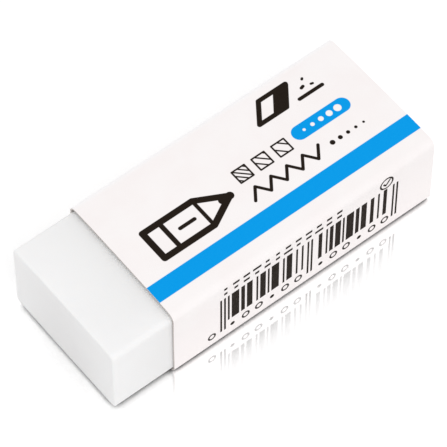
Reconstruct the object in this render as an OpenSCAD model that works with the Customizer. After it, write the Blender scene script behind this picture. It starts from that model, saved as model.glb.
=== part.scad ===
// Pencil eraser: a soft vinyl block in a wrapped card sleeve. Millimetres, +Z up.
// The bare working end points to -X and the sleeve's front panel faces -Y.
// The origin is on the surface that the sleeve lies on, under the middle of the whole length.

/* [Eraser block] */
// Length of the block, from the working end to the far end
block_len = 44.1; // [38:0.1:70]
// Width of the block
block_w = 17.7; // [12:0.1:30]
// Thickness of the block
block_h = 10.4; // [8:0.05:20]
// Radius along the four long edges of the block
long_edge_r = 0.7; // [0.5:0.1:2.5]
// Radius around the edges of the block's two ends
end_edge_r = 0.3; // [0.2:0.1:2]

/* [Card sleeve] */
// Length of the sleeve along the block
sleeve_len = 36.2; // [20:0.1:37]
// Thickness of the card
card_t = 0.2; // [0.15:0.05:0.6]
// Width of the glue flap, from the sleeve's back face
glue_flap_w = 7; // [4:0.5:9]
// Flat margin between the back fold and the cut edge of the outer bottom panel
seam_margin = 0.3; // [0.1:0.1:1.5]

/* [Fit] */
// Clearance between the block and the card at both sides and underneath
fit_gap = 0.08; // [0.04:0.02:0.4]
// Slack between the block and the sleeve's top panel
top_slack = 0.4; // [0.1:0.05:0.8]

/* [Hidden] */
$fn = 96;

// The glued seam is two cards thick, and the block lies on it
block_bottom = 2 * card_t + fit_gap;
fold_in_r = long_edge_r + fit_gap;
fold_out_r = fold_in_r + card_t;
sleeve_w = block_w + 2 * fit_gap + 2 * card_t;
sleeve_h = block_bottom + block_h + top_slack + card_t;
half_w = sleeve_w / 2;
mid_h = sleeve_h / 2;
seam_y = half_w - fold_out_r - seam_margin;
// The far ends of the block and the sleeve are level
far_end_x = block_len / 2;

// A rectangle from the origin, with true arcs at its corners
module rounded_rect(w, h, r) {
    translate([r, 0]) square([w - 2 * r, h]);
    translate([0, r]) square([w, h - 2 * r]);
    for (x = [r, w - r], y = [r, h - r])
        translate([x, y]) circle(r = r);
}

// Runs a section drawn in Y and Z along X
module along_x(length) {
    rotate([90, 0, 90]) linear_extrude(length) children();
}

// The block as it is cut: a bar with rounded long edges, eased around both ends
module eraser_block() {
    color("WhiteSmoke")
        translate([-block_len / 2, -block_w / 2, block_bottom])
            intersection() {
                along_x(block_len) rounded_rect(block_w, block_h, long_edge_r);
                linear_extrude(block_h) rounded_rect(block_len, block_w, end_edge_r);
                translate([0, block_w, 0]) rotate([90, 0, 0])
                    linear_extrude(block_w) rounded_rect(block_len, block_h, end_edge_r);
            }
}

// One closed turn of card whose outer bottom face is at the given height
module card_turn(bottom) {
    difference() {
        translate([-half_w, bottom])
            rounded_rect(sleeve_w, sleeve_h - bottom, fold_out_r);
        translate([card_t - half_w, bottom + card_t])
            rounded_rect(sleeve_w - 2 * card_t, sleeve_h - bottom - 2 * card_t, fold_in_r);
    }
}

// Section of the folded strip: the glue flap turns in from the back panel, and the outer
// bottom panel comes from the front panel, is glued over it and ends short of the back fold
module sleeve_section() {
    intersection() {
        card_turn(card_t);
        union() {
            translate([-half_w, mid_h]) square([sleeve_w, mid_h]);
            translate([half_w - glue_flap_w, 0]) square([glue_flap_w, sleeve_h]);
        }
    }
    intersection() {
        card_turn(0);
        translate([-half_w, 0]) square([half_w + seam_y, mid_h]);
    }
}

module card_sleeve() {
    color("Snow")
        translate([far_end_x - sleeve_len, 0, 0])
            along_x(sleeve_len) sleeve_section();
}

eraser_block();
card_sleeve();
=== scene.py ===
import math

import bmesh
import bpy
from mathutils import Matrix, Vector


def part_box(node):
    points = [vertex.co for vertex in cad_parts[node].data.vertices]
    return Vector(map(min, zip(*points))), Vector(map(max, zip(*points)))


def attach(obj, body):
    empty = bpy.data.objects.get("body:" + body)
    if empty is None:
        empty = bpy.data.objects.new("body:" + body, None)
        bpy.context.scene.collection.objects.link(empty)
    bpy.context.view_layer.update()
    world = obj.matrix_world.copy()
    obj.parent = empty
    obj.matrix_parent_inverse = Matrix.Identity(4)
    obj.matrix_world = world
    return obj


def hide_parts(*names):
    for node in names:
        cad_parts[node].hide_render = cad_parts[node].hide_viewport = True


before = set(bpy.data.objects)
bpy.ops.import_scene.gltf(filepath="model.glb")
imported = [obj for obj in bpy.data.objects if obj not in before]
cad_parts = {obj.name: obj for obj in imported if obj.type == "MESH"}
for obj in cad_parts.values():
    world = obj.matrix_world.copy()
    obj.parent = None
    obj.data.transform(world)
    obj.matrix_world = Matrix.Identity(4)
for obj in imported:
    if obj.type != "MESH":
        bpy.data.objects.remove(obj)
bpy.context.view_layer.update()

# Pencil eraser: a soft white vinyl block in a folded, glued and printed card sleeve.
# Everything is in metres, in the part's own frame: the working end of the block points to -X,
# the sleeve's front panel faces -Y, and the sleeve lies on the plane Z = 0. The block is held
# a little above that plane by the layers of card under it.

MM = 0.001

# ---------------------------------------------------------------- sizes, mm
LONG_EDGE_R = 0.7
END_EDGE_R = 0.25
CARD_T = 0.2
FLAP_W = 7.0
SEAM_MARGIN = 0.3
FOLD_R = 0.98
GLUE_T = 0.015
CROWN = 0.2            # how far the long edges of a top lie below its middle
CUT_SKEW = 0.005       # how far the sleeve's cut rim runs off square, per mm

# ---------------------------------------------------------------- how finely pieces are cut
FOLD_STEPS = 8
BLOCK_PARTS = (44, 12, 7)    # along, across and up
SLEEVE_PARTS = 30            # along
PANEL_PART = 1.6             # mm across a panel
BY_EDGE = 0.4                # mm from a rounded edge of the block to the first cut
BY_FOLD = 0.35               # mm from a fold to the first cut
BY_RIM = 0.3                 # mm from the sleeve's ends to the first cut
HINGE_SLACK = 0.01           # mm past a hinge, from where the strip turns with it

# ---------------------------------------------------------------- the sleeve's map, 0 to 1
OUTER_U = (0.005, 0.575)     # start and width
INNER_U = (0.595, 0.4)
MAP_V = (0.005, 0.99)        # bottom and height

# ---------------------------------------------------------------- print on the top, mm
TOP_FROM_Z = 10.9
STRIPE_Y = (-6.73, -4.43)
PILL_X = (10.3, 18.2)
PILL_Y = (0.0, 1.95)
PILL_CORNER = 0.97
PILL_DOTS = 5
PILL_DOT_PITCH = 1.18
PILL_DOT_R = (0.18, 0.46)    # of the first and the last
PRINT_SOFT = 0.03

# ---------------------------------------------------------------- print on the front, mm
FRONT_FROM_Y = -8.8
BARS_START = -7.86
BARS_MODULE = 0.262
BARS_X = (-12, 20)
BARS_Z = (3.55, 8.4)
GUARDS_Z = (2.06, 8.4)
MARKS_HEIGHT = 2.3
MARKS_Z = (1.5, 3.2)
MARK_RING_R = 0.44
MARK_DOT_R = 0.3
MARK_LINE = 0.12
LEAD_GAP = 1.15
DASHES_X = (-7.8, 9.4)
DASHES_Z = (8.8, 10.6)
DASH_ROWS = ((5.0, 9.2), (17.0, 10.1))     # seed and height of each row
DASH_PITCH = 1.43
DASH_HALF_LENGTH = (0.22, 0.6)             # each dash has a random one between these
DASH_HALF_HEIGHT = 0.2
TICK_CENTRE = (15.3, 9.5)
TICK_RING_R = 0.86

# ---------------------------------------------------------------- order of the bars, modules
GUARD = 3
MIDDLE_GUARD = 5
SYMBOL_MODULES = 7
SYMBOLS = 6
HALF = SYMBOLS * SYMBOL_MODULES
FIRST_HALF = GUARD
SECOND_HALF = GUARD + HALF + MIDDLE_GUARD
GUARD_BARS = (0, 2, 46, 48, 92, 94)

# ---------------------------------------------------------------- where tones change, mm
# Each pair goes from where a change begins to where it is complete
# Painted shade on the vinyl towards the sleeve's rim, and painted light along the top's front edge
SLEEVE_SHADE_X = (-21.5, -13.5)
FRONT_LIGHT_Y = (-8.7, -5.0)
FRONT_LIGHT_Z = (10.5, 9.7)
# Painted shade on the vinyl's cut ends
END_SHADE_Y = (8.6, 0.6)
END_SHADE_Z = (10.6, 2.0)
# Painted light low on the card's front panel
LOW_FRONT_LIGHT_Y = (-8.2, -8.9)
LOW_FRONT_LIGHT_Z = (10.0, 2.8)
# Painted highlight along the card's top back fold
FOLD_HIGHLIGHT_Y = (8.0, 8.9)
FOLD_HIGHLIGHT_Z = (10.3, 10.9)

# ---------------------------------------------------------------- surfaces
NOISE = (0.3, 0.7)           # where most of a noise's values lie
END_FACING = 0.8             # a face that looks this far along X is a cut end

# ---------------------------------------------------------------- floor and light
FLOOR_SIDE = 3               # m
FLOOR_DROP = 0.01            # mm
FLOOR_WHITE = 0.86
# The floor's painted contact shadow
CONTACT_REACH = 1.2          # mm
CONTACT_OPEN = (0.18, 0.66)  # how open a place is where the dark line is full, and where it ends
CONTACT_DARK = 0.04
POLISH_REACH = 6             # mm
POLISH_OPEN = (0.5, 0.88)    # how open a place is where the gloss begins to fade, and where it ends
POLISH = (0.72, 0.03)        # share of gloss beside the eraser, and away from it
GLOW_AT = (60, 300)          # mm from the middle
GLOW = (0.22, 0.5)
STUDIO_LIGHT = 0.8           # strength of the light from all round

# ---------------------------------------------------------------- colours, linear
CARD_WHITE = (0.938, 0.903, 0.899, 1)
CARD_SHADE = (0.926, 0.878, 0.873, 1)
# Painted light low on the front
CARD_PAINTED_LIGHT = (0.976, 0.926, 0.921, 1)
# Painted highlight on the top back fold
CARD_FOLD_HIGHLIGHT = (0.978, 0.966, 0.972, 1)
CARD_CORE = (0.68, 0.63, 0.61, 1)
CARD_CORE_DARK = (0.57, 0.52, 0.49, 1)
BOARD_INSIDE = (0.74, 0.72, 0.69, 1)
BOARD_FIBRE = (0.62, 0.60, 0.57, 1)
INK_DARK = (0.014, 0.009, 0.006, 1)
INK_DARK_WORN = (0.021, 0.015, 0.011, 1)
INK_BLUE = (0.001, 0.318, 0.800, 1)
INK_BLUE_LIGHT = (0.004, 0.340, 0.815, 1)
VINYL_WHITE = (0.887, 0.883, 0.884, 1)
VINYL_SHADE = (0.870, 0.866, 0.868, 1)
VINYL_CUT = (0.886, 0.882, 0.882, 1)
# Painted shade on the middle of the cut ends
VINYL_END_PAINTED_SHADE = (0.792, 0.783, 0.784, 1)
# Painted shade towards the sleeve's rim
VINYL_PAINTED_SHADE = (0.838, 0.834, 0.833, 1)


# ================================================================ camera
AIM = Vector((1.87, 2.53, 0.44)) * MM
VIEW_AZIMUTH = math.radians(231.44)
VIEW_ELEVATION = math.radians(56.74)
VIEW_DISTANCE = 368.4 * MM
LENS = 267


def add_camera():
    """The camera looks down on the working end and the front panel."""
    towards = Vector((
        math.cos(VIEW_ELEVATION) * math.cos(VIEW_AZIMUTH),
        math.cos(VIEW_ELEVATION) * math.sin(VIEW_AZIMUTH),
        math.sin(VIEW_ELEVATION),
    ))
    camera = bpy.data.objects.new("camera", bpy.data.cameras.new("camera"))
    camera.data.lens = LENS
    camera.data.sensor_width = 36
    camera.data.clip_start = 0.005
    camera.location = AIM + towards * VIEW_DISTANCE
    camera.rotation_euler = (-towards).to_track_quat("-Z", "Y").to_euler()
    bpy.context.scene.collection.objects.link(camera)
    bpy.context.scene.camera = camera


add_camera()


# ================================================================ node helpers
class Wires:
    """Adds the nodes of one material or group and joins them."""

    def __init__(self, tree):
        self.tree = tree

    def feed(self, socket, source):
        """Joins an output to the socket, or sets the socket to a plain value."""
        if isinstance(source, bpy.types.NodeSocket):
            self.tree.links.new(source, socket)
        else:
            socket.default_value = source

    def add(self, kind, sources=None, **settings):
        """A new node, with its settings made and its named inputs fed."""
        made = self.tree.nodes.new(kind)
        for name, value in settings.items():
            setattr(made, name, value)
        for label, source in (sources or {}).items():
            self.feed(made.inputs[label], source)
        return made

    def math(self, operation, *sources, clamp=False):
        made = self.add("ShaderNodeMath", operation=operation, use_clamp=clamp)
        for socket, source in zip(made.inputs, sources):
            self.feed(socket, source)
        return made.outputs[0]

    def vector(self, operation, *sources):
        made = self.add("ShaderNodeVectorMath", operation=operation)
        for socket, source in zip(made.inputs, sources):
            self.feed(socket, source)
        number = operation in ("LENGTH", "DOT_PRODUCT", "DISTANCE")
        return made.outputs["Value" if number else "Vector"]

    def scaled(self, vector, factor):
        made = self.add("ShaderNodeVectorMath", {"Vector": vector}, operation="SCALE")
        self.feed(made.inputs["Scale"], factor)
        return made.outputs["Vector"]

    def split(self, vector):
        return self.add("ShaderNodeSeparateXYZ", {"Vector": vector}).outputs

    def joined(self, x, y, z=0.0):
        sources = {"X": x, "Y": y, "Z": z}
        return self.add("ShaderNodeCombineXYZ", sources).outputs["Vector"]

    def spread(self, value, low, high, to_low=0.0, to_high=1.0, smooth=False):
        """Takes a value from one range to another, and holds it at both ends."""
        sources = {
            "Value": value, "From Min": low, "From Max": high,
            "To Min": to_low, "To Max": to_high,
        }
        kind = "SMOOTHSTEP" if smooth else "LINEAR"
        node = self.add("ShaderNodeMapRange", sources, interpolation_type=kind)
        return node.outputs["Result"]

    def inside(self, distance):
        """1 where the distance in mm is below 0, with a soft edge as ink has."""
        return self.spread(distance, PRINT_SOFT, -PRINT_SOFT, smooth=True)

    def any_of(self, *masks):
        total = masks[0]
        for mask in masks[1:]:
            total = self.math("MAXIMUM", total, mask)
        return total

    def all_of(self, *masks):
        """The product of masks, and of a plain number if one is among them."""
        total = masks[0]
        for mask in masks[1:]:
            total = self.math("MULTIPLY", total, mask)
        return total

    def mix(self, factor, first, second):
        """A colour between two. Other sockets share its sockets' names, so they go by number."""
        node = self.add("ShaderNodeMix", data_type="RGBA")
        self.feed(node.inputs["Factor"], factor)
        self.feed(node.inputs[6], first)
        self.feed(node.inputs[7], second)
        return node.outputs[2]

    def noise(self, place, scale, detail=2.0, roughness=0.5):
        sources = {
            "Vector": place, "Scale": scale, "Detail": detail, "Roughness": roughness,
        }
        return self.add("ShaderNodeTexNoise", sources).outputs["Fac"]

    def chance(self, first, second=0.0):
        """An even random number that depends only on the two numbers given."""
        node = self.add("ShaderNodeTexWhiteNoise", noise_dimensions="2D")
        self.feed(node.inputs["Vector"], self.joined(first, second))
        return node.outputs["Value"]

    def use(self, group, sources=None):
        """Places a group with its own values, and gives its outputs."""
        node = self.add("ShaderNodeGroup", node_tree=group)
        for label, source in (sources or {}).items():
            self.feed(node.inputs[label], source)
        return node.outputs


FLOAT = "NodeSocketFloat"
VECTOR = "NodeSocketVector"


def new_group(name, inputs, outputs):
    """A node group with named sockets. Returns the group, its wires, inputs and outputs."""
    group = bpy.data.node_groups.new(name, "ShaderNodeTree")
    for label, kind, value in inputs:
        socket = group.interface.new_socket(label, in_out="INPUT", socket_type=kind)
        socket.default_value = value
    for label, kind in outputs:
        group.interface.new_socket(label, in_out="OUTPUT", socket_type=kind)
    wires = Wires(group)
    entry = wires.add("NodeGroupInput").outputs
    result = wires.add("NodeGroupOutput").inputs
    return group, wires, entry, result


PLACE = ("Place", VECTOR, (0, 0, 0))


# ================================================================ groups for the print
def make_stroke_group():
    """A round-ended line of the pen, from one point to another."""
    group, w, given, result = new_group(
        "Stroke",
        [PLACE, ("From", VECTOR, (0, 0, 0)), ("To", VECTOR, (1, 0, 0)),
         ("Half width", FLOAT, 0.2)],
        [("Mask", FLOAT)],
    )
    along = w.vector("SUBTRACT", given["To"], given["From"])
    offset = w.vector("SUBTRACT", given["Place"], given["From"])
    reach = w.math(
        "DIVIDE",
        w.vector("DOT_PRODUCT", offset, along),
        w.vector("DOT_PRODUCT", along, along),
        clamp=True,
    )
    apart = w.vector("SUBTRACT", offset, w.scaled(along, reach))
    distance = w.math("SUBTRACT", w.vector("LENGTH", apart), given["Half width"])
    w.feed(result["Mask"], w.inside(distance))
    return group


def make_field_group():
    """A filled rectangle with rounded corners."""
    group, w, given, result = new_group(
        "Field",
        [PLACE, ("Centre", VECTOR, (0, 0, 0)), ("Half size", VECTOR, (1, 1, 0)),
         ("Corner", FLOAT, 0.0)],
        [("Mask", FLOAT), ("Distance", FLOAT)],
    )
    offset = w.split(w.vector("ABSOLUTE", w.vector(
        "SUBTRACT", given["Place"], given["Centre"])))
    half = w.split(given["Half size"])
    past = [
        w.math("ADD", w.math("SUBTRACT", offset[i], half[i]), given["Corner"])
        for i in (0, 1)
    ]
    outer = w.vector("LENGTH", w.joined(
        w.math("MAXIMUM", past[0], 0.0), w.math("MAXIMUM", past[1], 0.0)))
    inner = w.math("MINIMUM", w.math("MAXIMUM", past[0], past[1]), 0.0)
    distance = w.math("SUBTRACT", w.math("ADD", outer, inner), given["Corner"])
    w.feed(result["Distance"], distance)
    w.feed(result["Mask"], w.inside(distance))
    return group


def make_ring_group():
    """A ring, or a disc where the radius is 0."""
    group, w, given, result = new_group(
        "Ring",
        [PLACE, ("Centre", VECTOR, (0, 0, 0)), ("Radius", FLOAT, 1.0),
         ("Half width", FLOAT, 0.1)],
        [("Mask", FLOAT)],
    )
    reach = w.vector("DISTANCE", given["Place"], given["Centre"])
    off_line = w.math("ABSOLUTE", w.math("SUBTRACT", reach, given["Radius"]))
    w.feed(result["Mask"], w.inside(w.math("SUBTRACT", off_line, given["Half width"])))
    return group


def make_row_group():
    """Repeats a mark along a row: the place within its own cell, and the cell's number."""
    group, w, given, result = new_group(
        "Row",
        [PLACE, ("Start", FLOAT, 0.0), ("Pitch", FLOAT, 1.0)],
        [("Place", VECTOR), ("Number", FLOAT)],
    )
    place = w.split(given["Place"])
    cells = w.math("DIVIDE", w.math("SUBTRACT", place["X"], given["Start"]), given["Pitch"])
    within = w.math("MULTIPLY", w.math("SUBTRACT", w.math("FRACT", cells), 0.5), given["Pitch"])
    w.feed(result["Place"], w.joined(within, place["Y"]))
    w.feed(result["Number"], w.math("FLOOR", cells))
    return group


def between(w, value, low, high):
    """1 where the value lies between two others, with a hard edge."""
    return w.math("MULTIPLY", w.math("GREATER_THAN", value, low),
                  w.math("LESS_THAN", value, high))


def make_bars_group():
    """Upright bars by rule: each symbol is seven modules wide and holds two random bars."""
    group, w, given, result = new_group(
        "Bars",
        [PLACE, ("Start", FLOAT, 0.0), ("Module", FLOAT, 0.26)],
        [("Bars", FLOAT), ("Guards", FLOAT)],
    )
    x = w.split(given["Place"])["X"]
    modules = w.math("DIVIDE", w.math("SUBTRACT", x, given["Start"]), given["Module"])

    # A guard, six symbols, the middle guard, six symbols and a guard
    middle = (FIRST_HALF + HALF + SECOND_HALF) / 2
    second_half = w.math("GREATER_THAN", modules, middle)
    shift = w.math("ADD", w.math("MULTIPLY", second_half, MIDDLE_GUARD), FIRST_HALF)
    symbols = w.math("DIVIDE", w.math("SUBTRACT", modules, shift), SYMBOL_MODULES)
    number = w.math("FLOOR", symbols)
    at = w.math("MULTIPLY", w.math("FRACT", symbols), SYMBOL_MODULES)
    widths = [
        w.math("ADD", w.math("FLOOR", w.math("MULTIPLY", w.chance(number, seed), 2.0)), 1.0)
        for seed in (3, 11, 23)
    ]
    first_end = w.math("ADD", widths[0], widths[1])
    second_start = w.math("ADD", first_end, widths[2])
    first = between(w, at, widths[0], first_end)
    second = w.math("GREATER_THAN", at, second_start)

    # The last module before the next guard stays clear
    halves = [between(w, modules, start, start + HALF - 1) for start in (FIRST_HALF, SECOND_HALF)]
    w.feed(result["Bars"], w.all_of(w.any_of(first, second), w.any_of(*halves)))
    w.feed(result["Guards"], w.any_of(*[
        between(w, modules, start, start + 1) for start in GUARD_BARS]))
    return group


STROKE = make_stroke_group()
FIELD = make_field_group()
RING = make_ring_group()
ROW = make_row_group()
BARS = make_bars_group()


def stroke(w, place, start, end, half_width):
    """A line of the pen, by points in mm on the panel."""
    sources = {
        "Place": place, "From": (*start, 0), "To": (*end, 0), "Half width": half_width,
    }
    return w.use(STROKE, sources)["Mask"]


def field(w, place, x_range, y_range, corner=0.0):
    """A filled rectangle, by where it starts and ends both ways."""
    centre = ((x_range[0] + x_range[1]) / 2, (y_range[0] + y_range[1]) / 2, 0)
    half = ((x_range[1] - x_range[0]) / 2, (y_range[1] - y_range[0]) / 2, 0)
    sources = {"Place": place, "Centre": centre, "Half size": half, "Corner": corner}
    return w.use(FIELD, sources)["Mask"]


def outline(w, place, points, half_width):
    """A closed line through the points."""
    ends = points[1:] + points[:1]
    return w.any_of(*[stroke(w, place, a, b, half_width) for a, b in zip(points, ends)])


def pencil_sign(w, place):
    """A bold pencil, drawn in outline with a solid point."""
    back, ferrule, shoulder, tip = -10.25, -8.05, -3.5, 0.15
    low, middle, high = -2.68, -0.72, 1.24
    bold, medium, fine = 0.4, 0.3, 0.24
    body = outline(w, place, [
        (back, low), (shoulder, low), (tip, middle), (shoulder, high), (back, high)], bold)
    return w.any_of(
        body,
        stroke(w, place, (ferrule, low), (ferrule, high), medium),
        stroke(w, place, (shoulder, low), (shoulder, high), fine),
        stroke(w, place, (tip - 1.0, middle), (tip, middle), half_width=0.5),
        stroke(w, place, (back + 3.6, middle), (shoulder - 1.2, middle), fine))


def rubbing_sign(w, place):
    """A small eraser that rubs a line out, with crumbs."""
    corners = [(8.5, 4.5), (12.3, 4.5), (14.2, 7.1), (10.4, 7.1)]
    block = outline(w, place, corners, half_width=0.3)
    wrap = w.any_of(*[
        stroke(w, place, (11.0 + step, 4.6), (12.8 + step, 7.0), half_width=0.36)
        for step in (0.0, 0.45, 0.9, 1.3)
    ])
    line = stroke(w, place, (14.1, 4.45), (17.3, 4.45), half_width=0.24)
    crumbs = w.any_of(
        stroke(w, place, (15.2, 5.5), (15.5, 5.6), half_width=0.2),
        stroke(w, place, (16.4, 5.3), (16.6, 5.25), half_width=0.16),
        stroke(w, place, (16.0, 6.4), (16.1, 6.5), half_width=0.16),
    )
    return w.any_of(block, wrap, line, crumbs)


def dot_row(w, place, cells, height, radii, limits):
    """Dots along a row of cells, given as start, count and pitch, that grow or shrink evenly."""
    start, count, pitch = cells
    row = w.use(ROW, {"Place": place, "Start": start, "Pitch": pitch})
    radius = w.spread(row["Number"], 0.0, count - 1, *radii)
    dot = w.use(RING, {
        "Place": row["Place"], "Centre": (0, height, 0), "Radius": 0.0, "Half width": radius})
    return w.all_of(dot["Mask"], field(w, place, (start, start + count * pitch), limits))


def pencil_line(w, place):
    """A zigzag pencil line that thins out into dots as it is erased."""
    start, dots_start, step, low, high = 1.9, 12.7, 1.1, -3.0, -1.5
    turns = [(start + step * i, low if i % 2 == 0 else high) for i in range(10)]
    drawn = w.any_of(*[
        stroke(w, place, here, there, half_width=0.19)
        for here, there in zip(turns, turns[1:])])
    dots = dot_row(w, place, (dots_start, 5, step), (low + high) / 2, (0.32, 0.16), (-3.3, -1.2))
    return w.any_of(drawn, dots)


def tone_squares(w, place):
    """Three little squares hatched from dark to light, as test strokes of pencils are."""
    start, pitch, middle, half, line = 1.62, 2.75, 0.62, 0.98, 0.11
    row = w.use(ROW, {"Place": place, "Start": start, "Pitch": pitch})
    limits = field(w, place, (start, start + 3 * pitch), (-0.6, 1.8))
    square = w.use(FIELD, {
        "Place": row["Place"], "Centre": (0, middle, 0), "Half size": (half, half, 0),
        "Corner": 0.12})
    edge = w.inside(w.math("SUBTRACT", w.math("ABSOLUTE", w.math(
        "ADD", square["Distance"], line)), line))
    spacing = w.spread(row["Number"], 0.0, 2.0, 0.24, 0.5)
    within = w.split(row["Place"])
    across = w.math("MULTIPLY", w.math("ADD", within["X"], within["Y"]), 0.707)
    hatch = w.inside(w.math("SUBTRACT", w.math("PINGPONG", across, spacing), 0.1))
    return w.all_of(w.any_of(edge, w.all_of(hatch, square["Mask"])), limits)


def make_top_print_group():
    """What is printed on the sleeve's top panel."""
    group, w, given, result = new_group(
        "Top print", [PLACE], [("Dark", FLOAT), ("Blue", FLOAT)])
    place = given["Place"]
    dark = w.any_of(
        pencil_sign(w, place), rubbing_sign(w, place), pencil_line(w, place),
        tone_squares(w, place))
    w.feed(result["Dark"], dark)

    past_both_ends = (-40, 40)
    stripe = field(w, place, past_both_ends, STRIPE_Y)
    pill = field(w, place, PILL_X, PILL_Y, PILL_CORNER)
    cells = (PILL_X[0] + 1.0, PILL_DOTS, PILL_DOT_PITCH)
    dots = dot_row(w, place, cells, sum(PILL_Y) / 2, PILL_DOT_R, PILL_Y)
    w.feed(result["Blue"], w.math("SUBTRACT", w.any_of(stripe, pill), dots, clamp=True))
    return group


def make_front_print_group():
    """What is printed on the sleeve's front panel, where Y of the place is the height."""
    group, w, given, result = new_group("Front print", [PLACE], [("Dark", FLOAT)])
    place = given["Place"]
    bars = w.use(BARS, {"Place": place, "Start": BARS_START, "Module": BARS_MODULE})
    upright = w.any_of(
        w.all_of(bars["Bars"], field(w, place, BARS_X, BARS_Z)),
        w.all_of(bars["Guards"], field(w, place, BARS_X, GUARDS_Z)))

    # A ring stands before the bars, and a ring or a dot under each symbol of both halves
    symbol = SYMBOL_MODULES * BARS_MODULE
    lead = w.use(RING, {
        "Place": place, "Centre": (BARS_START - LEAD_GAP, MARKS_HEIGHT, 0),
        "Radius": MARK_RING_R, "Half width": MARK_LINE})
    marks = [lead["Mask"]]
    for first_module in (FIRST_HALF, SECOND_HALF):
        start = BARS_START + first_module * BARS_MODULE
        row = w.use(ROW, {"Place": place, "Start": start, "Pitch": symbol})
        is_dot = w.math("LESS_THAN", w.math("FLOORED_MODULO", row["Number"], 3.0), 0.5)
        radius = w.spread(is_dot, 0.0, 1.0, MARK_RING_R, 0.0)
        half_width = w.spread(is_dot, 0.0, 1.0, MARK_LINE, MARK_DOT_R)
        mark = w.use(RING, {
            "Place": row["Place"], "Centre": (0, MARKS_HEIGHT, 0), "Radius": radius,
            "Half width": half_width})
        limits = field(w, place, (start, start + SYMBOLS * symbol), MARKS_Z)
        marks.append(w.all_of(mark["Mask"], limits))

    # Two lines of dashes, some short and some long
    lines = []
    for seed, height in DASH_ROWS:
        row = w.use(ROW, {"Place": place, "Start": DASHES_X[0], "Pitch": DASH_PITCH})
        half = w.spread(w.chance(row["Number"], seed), 0.0, 1.0, *DASH_HALF_LENGTH)
        within = w.split(row["Place"])
        along = w.math("SUBTRACT", w.math("ABSOLUTE", within["X"]), half)
        off = w.math("ABSOLUTE", w.math("SUBTRACT", within["Y"], height))
        dash = w.all_of(w.inside(along), w.inside(w.math("SUBTRACT", off, DASH_HALF_HEIGHT)))
        lines.append(w.all_of(dash, field(w, place, DASHES_X, DASHES_Z)))

    # A tick in a ring
    ring = w.use(RING, {
        "Place": place, "Centre": (*TICK_CENTRE, 0), "Radius": TICK_RING_R,
        "Half width": MARK_LINE})
    foot = (15.2, 9.15)
    tick = w.any_of(stroke(w, place, (14.9, 9.5), foot, half_width=0.13),
                    stroke(w, place, foot, (15.75, 9.9), half_width=0.13))
    w.feed(result["Dark"], w.any_of(upright, *marks, *lines, ring["Mask"], tick))
    return group


# ================================================================ groups for the surfaces
def make_grain_group():
    """Fine relief and tone of a pale surface: a soft cloudiness and a close grain."""
    group, w, given, result = new_group(
        "Grain",
        [PLACE, ("Stretch", VECTOR, (1, 1, 1)), ("Cloud scale", FLOAT, 0.2),
         ("Grain scale", FLOAT, 4.0)],
        [("Cloud", FLOAT), ("Grain", FLOAT), ("Height", FLOAT)],
    )
    place = w.vector("MULTIPLY", given["Place"], given["Stretch"])
    cloud = w.noise(given["Place"], given["Cloud scale"], detail=3.0, roughness=0.55)
    grain = w.noise(place, given["Grain scale"], detail=4.0, roughness=0.6)
    w.feed(result["Cloud"], w.spread(cloud, *NOISE, smooth=True))
    w.feed(result["Grain"], grain)
    w.feed(result["Height"], w.math("ADD", w.math("MULTIPLY", cloud, 0.4), grain))
    return group


GRAIN = make_grain_group()
TOP_PRINT = make_top_print_group()
FRONT_PRINT = make_front_print_group()


def new_material(name):
    """A material with its Principled shader, its wires and the place on the piece in mm."""
    material = bpy.data.materials.new(name)
    material.use_nodes = True
    w = Wires(material.node_tree)
    shader = material.node_tree.nodes["Principled BSDF"]
    place = w.scaled(w.add("ShaderNodeTexCoord").outputs["Object"], 1 / MM)
    return material, w, shader, place


def bump(w, height, strength, depth):
    """Relief from a height, where depth is in mm."""
    sources = {"Height": height, "Strength": strength, "Distance": depth * MM}
    return w.add("ShaderNodeBump", sources).outputs["Normal"]


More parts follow.
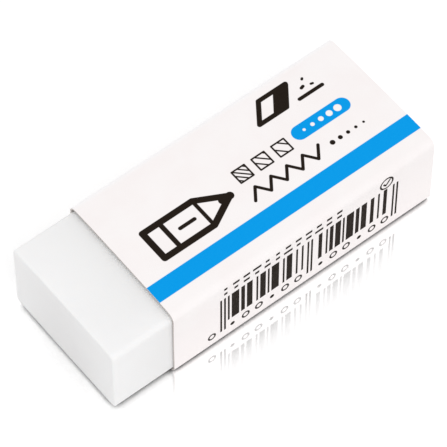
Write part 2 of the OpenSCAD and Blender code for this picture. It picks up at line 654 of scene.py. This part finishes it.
def vinyl_material():
    """Soft white vinyl drawn lengthwise, with painted shade on its cut ends and near the sleeve's
    rim.
    """
    material, w, shader, place = new_material("white_vinyl")
    sides = w.use(GRAIN, {
        "Place": place, "Stretch": (0.06, 1, 1), "Cloud scale": 0.16, "Grain scale": 2.2})
    ends = w.use(GRAIN, {
        "Place": place, "Stretch": (1, 1, 0.08), "Cloud scale": 0.3, "Grain scale": 3.0})
    on_end = w.math("GREATER_THAN", w.math("ABSOLUTE", w.split(
        w.add("ShaderNodeNewGeometry").outputs["Normal"])["X"]), END_FACING)
    fine = w.noise(place, scale=9.0, detail=3.0, roughness=0.6)
    height = w.math("ADD", w.spread(on_end, 0.0, 1.0, sides["Height"], ends["Height"]),
                    w.math("MULTIPLY", fine, 0.5))

    # Painted shade greys the faces towards the sleeve's rim; the top's front edge is kept pale as
    # painted light
    at = w.split(place)
    beyond_lit_front_edge = w.any_of(
        w.spread(at["Y"], *FRONT_LIGHT_Y, smooth=True), w.spread(at["Z"], *FRONT_LIGHT_Z, smooth=True))
    painted_sleeve_shade = w.all_of(w.spread(at["X"], *SLEEVE_SHADE_X, smooth=True), beyond_lit_front_edge)
    unshaded = w.mix(sides["Cloud"], VINYL_WHITE, VINYL_SHADE)
    drawn = w.mix(painted_sleeve_shade, unshaded, VINYL_PAINTED_SHADE)

    # Painted shade on the cut ends, greyest in the middle and low down, varied by the cloud
    across = w.spread(w.math("ABSOLUTE", at["Y"]), *END_SHADE_Y, smooth=True)
    down = w.spread(at["Z"], *END_SHADE_Z, 0.55, 1.0, smooth=True)
    cloudy = w.spread(ends["Cloud"], 0.0, 1.0, 0.8, 1.0)
    cut = w.mix(w.all_of(across, down, cloudy), VINYL_CUT, VINYL_END_PAINTED_SHADE)
    w.feed(shader.inputs["Base Color"], w.mix(on_end, drawn, cut))
    w.feed(shader.inputs["Roughness"], w.spread(fine, *NOISE, 0.44, 0.56))
    w.feed(shader.inputs["Normal"], bump(w, height, strength=0.35, depth=0.02))
    shader.inputs["Subsurface Weight"].default_value = 0.25
    shader.inputs["Subsurface Radius"].default_value = (1.0, 0.95, 0.9)
    shader.inputs["Subsurface Scale"].default_value = 0.8 * MM
    shader.inputs["IOR"].default_value = 1.45
    shader.inputs["Specular IOR Level"].default_value = 0.35
    return material


def printed_material():
    """The sleeve's outer face: coated white board with blue and near-black ink."""
    material, w, shader, place = new_material("printed_board")
    at = w.split(place)
    on_top = w.math("GREATER_THAN", at["Z"], TOP_FROM_Z)
    on_front = w.math("LESS_THAN", at["Y"], FRONT_FROM_Y)
    top = w.use(TOP_PRINT, {"Place": w.joined(at["X"], at["Y"])})
    front = w.use(FRONT_PRINT, {"Place": w.joined(at["X"], at["Z"])})
    dark = w.any_of(w.all_of(top["Dark"], on_top), w.all_of(front["Dark"], on_front))
    blue = w.all_of(top["Blue"], on_top)

    surface = w.use(GRAIN, {
        "Place": place, "Stretch": (0.5, 1, 1), "Cloud scale": 0.22, "Grain scale": 3.2})
    ink_grain = w.noise(place, scale=11.0, detail=2.0, roughness=0.7)
    worn = w.spread(ink_grain, 0.35, 0.7)

    # Painted light: the board is lighter low down on the front, and a painted highlight pales it
    # over the top back fold
    painted_low_front_light = w.all_of(w.spread(at["Y"], *LOW_FRONT_LIGHT_Y, smooth=True), w.spread(at["Z"], *LOW_FRONT_LIGHT_Z))
    painted_fold_highlight = w.all_of(w.spread(at["Y"], *FOLD_HIGHLIGHT_Y, smooth=True),
                         w.spread(at["Z"], *FOLD_HIGHLIGHT_Z, smooth=True))
    board = w.mix(surface["Cloud"], CARD_WHITE, CARD_SHADE)
    board = w.mix(painted_fold_highlight, w.mix(painted_low_front_light, board, CARD_PAINTED_LIGHT), CARD_FOLD_HIGHLIGHT)
    with_blue = w.mix(blue, board, w.mix(worn, INK_BLUE, INK_BLUE_LIGHT))
    colour = w.mix(dark, with_blue, w.mix(worn, INK_DARK, INK_DARK_WORN))
    w.feed(shader.inputs["Base Color"], colour)

    inked = w.any_of(dark, blue)
    satin = w.spread(surface["Grain"], *NOISE, 0.36, 0.46)
    w.feed(shader.inputs["Roughness"], w.math("ADD", satin, w.math("MULTIPLY", inked, 0.06)))
    w.feed(shader.inputs["Normal"], bump(w, surface["Height"], strength=0.3, depth=0.012))
    shader.inputs["Specular IOR Level"].default_value = 0.025
    return material


def inside_material():
    """The sleeve's inner face: bare board with short fibres."""
    material, w, shader, place = new_material("bare_board")
    surface = w.use(GRAIN, {
        "Place": place, "Stretch": (0.25, 1, 1), "Cloud scale": 0.5, "Grain scale": 5.0})
    w.feed(shader.inputs["Base Color"], w.mix(surface["Grain"], BOARD_INSIDE, BOARD_FIBRE))
    w.feed(shader.inputs["Roughness"], w.spread(surface["Cloud"], 0.0, 1.0, 0.78, 0.9))
    w.feed(shader.inputs["Normal"], bump(w, surface["Height"], strength=0.6, depth=0.03))
    return material


def cut_edge_material():
    """The board's cut edges, where its brownish pressed layers show."""
    material, w, shader, place = new_material("cut_board_edge")
    layers = w.use(GRAIN, {
        "Place": place, "Stretch": (0.3, 0.3, 0.3), "Cloud scale": 1.2, "Grain scale": 26.0})
    tone = w.mix(w.spread(layers["Grain"], 0.35, 0.65), CARD_CORE, CARD_CORE_DARK)
    w.feed(shader.inputs["Base Color"], tone)
    w.feed(shader.inputs["Roughness"], w.spread(layers["Cloud"], 0.0, 1.0, 0.82, 0.94))
    w.feed(shader.inputs["Normal"], bump(w, layers["Height"], strength=0.7, depth=0.02))
    return material


# ================================================================ modelling helpers
def deselect_all():
    bpy.ops.object.select_all(action="DESELECT")


def start_piece(name, size):
    """Names the primitive just added, gives it its size and puts its place in its mesh."""
    piece = bpy.context.object
    piece.name = name
    piece.scale = size
    bpy.ops.object.transform_apply(location=True, rotation=True, scale=True)
    return piece


def edit_mode(kind="VERT"):
    bpy.ops.object.mode_set(mode="EDIT")
    bpy.ops.mesh.select_mode(type=kind)


def object_mode():
    bpy.ops.object.mode_set(mode="OBJECT")


def pick(piece, parts, wanted):
    """Selects, in edit mode, only those of the mesh's edges or faces that the test accepts."""
    mesh = bmesh.from_edit_mesh(piece.data)
    bpy.ops.mesh.select_all(action="DESELECT")
    for part in getattr(mesh, parts):
        if wanted(part):
            part.select_set(True)
    bmesh.update_edit_mesh(piece.data)


def cut_across(axis, places):
    """Cuts the whole mesh, in edit mode, by planes square to an axis."""
    for place in places:
        bpy.ops.mesh.select_all(action="SELECT")
        co = Vector()
        co[axis] = place
        no = Vector()
        no[axis] = 1
        bpy.ops.mesh.bisect(plane_co=co, plane_no=no)


def evenly(low, high, count):
    """Places that divide a length into that many equal parts, without its ends."""
    return [low + (high - low) * i / count for i in range(1, count)]


def uneven(piece, name, size, depth):
    """Presses the surface in very slightly and unevenly, as soft or folded stock is."""
    texture = bpy.data.textures.new(name, "CLOUDS")
    texture.noise_scale = size * MM
    texture.noise_depth = 0
    modifier = piece.modifiers.new(name, "DISPLACE")
    modifier.texture = texture
    modifier.texture_coords = "LOCAL"
    modifier.mid_level = 1.0
    modifier.strength = depth * MM
    bpy.ops.object.modifier_apply(modifier=name)


def crown(piece, middle_z, top_z, half_width):
    """Lets the top sink a little towards both long edges, so that it is highest in the middle."""
    for vertex in piece.data.vertices:
        lift = (vertex.co.z - middle_z) / (top_z - middle_z)
        if lift > 0:
            outward = abs(vertex.co.y) / half_width
            vertex.co.z -= CROWN * MM * lift * outward ** 3


def shade_smooth(piece, degrees):
    deselect_all()
    piece.select_set(True)
    bpy.context.view_layer.objects.active = piece
    bpy.ops.object.shade_smooth_by_angle(angle=math.radians(degrees))


def face_out():
    """Turns every face of the piece outwards, in edit mode."""
    bpy.ops.mesh.select_all(action="SELECT")
    bpy.ops.mesh.normals_make_consistent(inside=False)


# ================================================================ the vinyl block
def is_end(face):
    return abs(face.normal.x) > 0.9


def build_block():
    """A drawn bar with rounded long edges, cut off square and eased at both ends."""
    low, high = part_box("eraser_block")
    size = high - low
    middle = (high + low) / 2
    deselect_all()
    bpy.ops.mesh.primitive_cube_add(size=1, location=middle)
    block = start_piece("vinyl_block", size)

    edit_mode("EDGE")
    pick(block, "edges", lambda e: abs(e.verts[0].co.x - e.verts[1].co.x) > size.x / 2)
    bpy.ops.mesh.bevel(offset=LONG_EDGE_R * MM, segments=10, profile=0.5)
    pick(block, "edges", lambda e: {is_end(f) for f in e.link_faces} == {True, False})
    bpy.ops.mesh.bevel(offset=END_EDGE_R * MM, segments=4, profile=0.5)

    flat = LONG_EDGE_R * MM
    near = flat + BY_EDGE * MM
    along, across, up = BLOCK_PARTS
    cut_across(0, evenly(low.x + END_EDGE_R * MM, high.x - END_EDGE_R * MM, along))
    cut_across(1, evenly(low.y + flat, high.y - flat, across))
    cut_across(1, [low.y + near, high.y - near])
    cut_across(2, evenly(low.z + flat, high.z - flat, up))
    cut_across(2, [low.z + near, high.z - near])
    face_out()
    object_mode()
    uneven(block, "soft_unevenness", size=9, depth=0.05)
    crown(block, middle.z, high.z, size.y / 2)
    shade_smooth(block, degrees=35)
    block.data.materials.clear()
    block.data.materials.append(vinyl_material())
    return block


# ================================================================ the card sleeve
def fold_rolls(start, chord):
    """Where the strip is hinged to roll one fold, and how far at each hinge, in degrees."""
    turn = 90 / FOLD_STEPS
    rolls = [(start, turn / 2)]
    rolls += [(start + chord * i, turn) for i in range(1, FOLD_STEPS)]
    return rolls + [(start + chord * FOLD_STEPS, turn / 2)]


def strip_plan(low, high):
    """The flat strip's hinges and panel middles, by distance from the flap's free edge."""
    half_w = (high.y - low.y) / 2 / MM
    height = (high.z - low.z) / MM
    flat_half = half_w - FOLD_R
    chord = 2 * FOLD_R * math.sin(math.radians(90 / FOLD_STEPS / 2))
    seam_y = flat_half - SEAM_MARGIN
    panels = [
        FLAP_W - FOLD_R,
        height - CARD_T - GLUE_T - 2 * FOLD_R,
        2 * flat_half,
        height - 2 * FOLD_R,
        flat_half + seam_y,
    ]
    hinges, creases, at = [], [], 0.0
    for panel in panels[:-1]:
        creases.append((at, at + panel))
        at += panel
        hinges += fold_rolls(at, chord)
        at += chord * FOLD_STEPS
    creases.append((at, at + panels[-1]))
    return hinges, creases, at + panels[-1]


def lay_flat_strip(low, high, hinges, creases, length):
    """The cut card before folding, flat at the height of the glue flap, ruled for folding."""
    start_y = high.y - FLAP_W * MM
    level = low.z + (CARD_T + GLUE_T) * MM
    size = (high.x - low.x, length * MM, 1)
    middle = ((high.x + low.x) / 2, start_y + length * MM / 2, level)
    deselect_all()
    bpy.ops.mesh.primitive_plane_add(size=1, location=middle)
    strip = start_piece("card_sleeve_wrap", size)
    edit_mode()
    bpy.ops.mesh.flip_normals()
    across = [place for place, _ in hinges]
    for first, last in creases:
        across += evenly(first, last, max(2, round((last - first) / PANEL_PART)))
        across += [first + BY_FOLD] * (first > 0) + [last - BY_FOLD] * (last < length)
    cut_across(1, [start_y + place * MM for place in sorted(across)])
    cut_across(0, evenly(low.x, high.x, SLEEVE_PARTS))
    cut_across(0, [low.x + BY_RIM * MM, high.x - BY_RIM * MM])
    object_mode()

    # The end by the bare vinyl is cut a hair out of square, from the front panel back
    front_middle = start_y + sum(creases[3]) / 2 * MM
    for vertex in strip.data.vertices:
        nearness = (high.x - vertex.co.x) / (high.x - low.x)
        vertex.co.x += CUT_SKEW * nearness * max(0, front_middle - vertex.co.y)
    return strip, start_y


def fold_strip(strip, hinges, start_y):
    """Rolls the strip up round its four folds, hinge by hinge, from the glue flap on."""
    flat = [v.co.y for v in strip.data.vertices]
    edit_mode()
    for place, degrees in hinges:
        here = start_y + place * MM
        mesh = bmesh.from_edit_mesh(strip.data)
        mesh.verts.ensure_lookup_table()
        nearest = min(range(len(flat)), key=lambda i: abs(flat[i] - here))
        pivot = mesh.verts[nearest].co.copy()
        bpy.ops.mesh.select_all(action="DESELECT")
        for vertex, y in zip(mesh.verts, flat):
            vertex.select_set(y > here + HINGE_SLACK * MM)
        mesh.select_flush(True)
        bmesh.update_edit_mesh(strip.data)

        # Without a window this operator turns the other way
        bpy.ops.transform.rotate(
            value=math.radians(-degrees), orient_axis="X", center_override=pivot)
    object_mode()


def unfolded_map(sleeve):
    """Lays the printed face out large and flat, and the inner face and edges beside it."""
    sleeve.data.uv_layers[0].name = "OFBake"
    edit_mode("FACE")
    pick(sleeve, "faces", lambda f: f.material_index > 0)
    bpy.ops.uv.smart_project(angle_limit=1.15, island_margin=0.004, scale_to_bounds=True)
    object_mode()
    corners = sleeve.data.uv_layers[0].data
    bottom, height = MAP_V
    for polygon in sleeve.data.polygons:
        start, width = INNER_U if polygon.material_index else OUTER_U
        for i in polygon.loop_indices:
            u, v = corners[i].uv
            corners[i].uv = (start + width * u, bottom + height * v)


def build_sleeve():
    """One strip of card folded into a flat tube and glued, flap inside, underneath."""
    low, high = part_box("card_sleeve")
    hinges, creases, length = strip_plan(low, high)
    sleeve, start_y = lay_flat_strip(low, high, hinges, creases, length)
    fold_strip(sleeve, hinges, start_y)
    for material in (printed_material(), inside_material(), cut_edge_material()):
        sleeve.data.materials.append(material)
    uneven(sleeve, "card_unevenness", size=14, depth=0.04)
    crown(sleeve, (low.z + high.z) / 2, high.z, high.y)

    # The inner face takes the second material, and the cut edges the third
    wall = sleeve.modifiers.new("card_thickness", "SOLIDIFY")
    wall.thickness = CARD_T * MM
    wall.offset = -1
    wall.use_even_offset = True
    wall.material_offset = 1
    wall.material_offset_rim = 2
    bpy.ops.object.modifier_apply(modifier=wall.name)
    unfolded_map(sleeve)
    shade_smooth(sleeve, degrees=40)
    return sleeve


# ================================================================ floor and light
def openness(w, reach):
    """How far a place on the floor is open to the sky, counting only what is that near, in mm."""
    node = w.add("ShaderNodeAmbientOcclusion", {"Distance": reach * MM}, samples=16)
    return node.outputs["AO"]


def seen_directly(w):
    """1 where a surface is looked at, in gloss or through glass too, and 0 as a source of light."""
    path = w.add("ShaderNodeLightPath").outputs
    return w.any_of(path["Is Camera Ray"], path["Is Glossy Ray"], path["Is Transmission Ray"])


def floor_material():
    """White, with a painted contact shadow under the eraser, some polish near it, and light for the
    eye.
    """
    material = bpy.data.materials.new("floor_white")
    material.use_nodes = True
    tree = material.node_tree
    tree.nodes.clear()
    w = Wires(tree)

    # Painted contact shadow: it is darkened right where the eraser meets it
    outside_painted_shadow = w.spread(
        openness(w, CONTACT_REACH), *CONTACT_OPEN, CONTACT_DARK, 1.0, smooth=True)
    tone = w.math("MULTIPLY", outside_painted_shadow, FLOOR_WHITE)
    matt = w.add("ShaderNodeBsdfDiffuse", {"Color": w.joined(tone, tone, tone)}).outputs["BSDF"]

    # The polish shows beside the eraser and fades away from it
    gloss = w.add("ShaderNodeBsdfGlossy", {
        "Color": w.joined(outside_painted_shadow, outside_painted_shadow, outside_painted_shadow), "Roughness": 0.05}).outputs["BSDF"]
    sheen = w.add("ShaderNodeMixShader", {
        "Fac": w.spread(openness(w, POLISH_REACH), *POLISH_OPEN, *POLISH, smooth=True)})
    w.feed(sheen.inputs[1], matt)
    w.feed(sheen.inputs[2], gloss)

    # It gives off a little light where it is looked at, and more further out
    reach = w.vector("LENGTH", w.add("ShaderNodeTexCoord").outputs["Object"])
    start, end = GLOW_AT
    lift = w.spread(reach, start * MM, end * MM, *GLOW, smooth=True)
    glow = w.add("ShaderNodeEmission", {
        "Color": (1, 1, 1, 1),
        "Strength": w.all_of(seen_directly(w), outside_painted_shadow, lift)}).outputs["Emission"]
    total = w.add("ShaderNodeAddShader")
    w.feed(total.inputs[0], sheen.outputs["Shader"])
    w.feed(total.inputs[1], glow)
    output = w.add("ShaderNodeOutputMaterial")
    w.feed(output.inputs["Surface"], total.outputs["Shader"])
    return material


def add_floor():
    """A plain white floor, a hair below the eraser."""
    deselect_all()
    bpy.ops.mesh.primitive_plane_add(size=FLOOR_SIDE, location=(0, 0, -FLOOR_DROP * MM))
    floor = bpy.context.object
    floor.name = "floor"
    floor.data.materials.append(floor_material())


def add_world():
    """Even studio light from all round, and plain white wherever the studio is seen."""
    world = bpy.data.worlds.new("studio")
    bpy.context.scene.world = world
    world.use_nodes = True
    tree = world.node_tree
    tree.nodes.clear()
    w = Wires(tree)
    strength = w.spread(seen_directly(w), 0.0, 1.0, STUDIO_LIGHT, 1.0)
    light = w.add("ShaderNodeBackground", {"Color": (1, 1, 1, 1), "Strength": strength})
    output = w.add("ShaderNodeOutputWorld")
    w.feed(output.inputs["Surface"], light.outputs["Background"])


def add_lamp(name, azimuth, elevation, distance, size, power):
    """A square soft box that faces the eraser."""
    turn, lift = math.radians(azimuth), math.radians(elevation)
    towards = Vector((
        math.cos(lift) * math.cos(turn), math.cos(lift) * math.sin(turn), math.sin(lift)))
    data = bpy.data.lights.new(name, "AREA")
    data.shape = "SQUARE"
    data.size = size
    data.energy = power
    lamp = bpy.data.objects.new(name, data)
    lamp.location = towards * distance
    lamp.rotation_euler = (-towards).to_track_quat("-Z", "Y").to_euler()
    lamp.visible_camera = False
    bpy.context.scene.collection.objects.link(lamp)


# ================================================================ assembly
block = build_block()
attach(block, "block")
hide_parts("eraser_block")

sleeve = build_sleeve()
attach(sleeve, "sleeve")
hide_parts("card_sleeve")

add_floor()
add_world()
add_lamp("key", azimuth=-102, elevation=50, distance=0.7, size=0.5, power=1.38)
add_lamp("fill", azimuth=100, elevation=15, distance=0.7, size=0.6, power=0.8)
bpy.context.scene.view_settings.view_transform = "Standard"
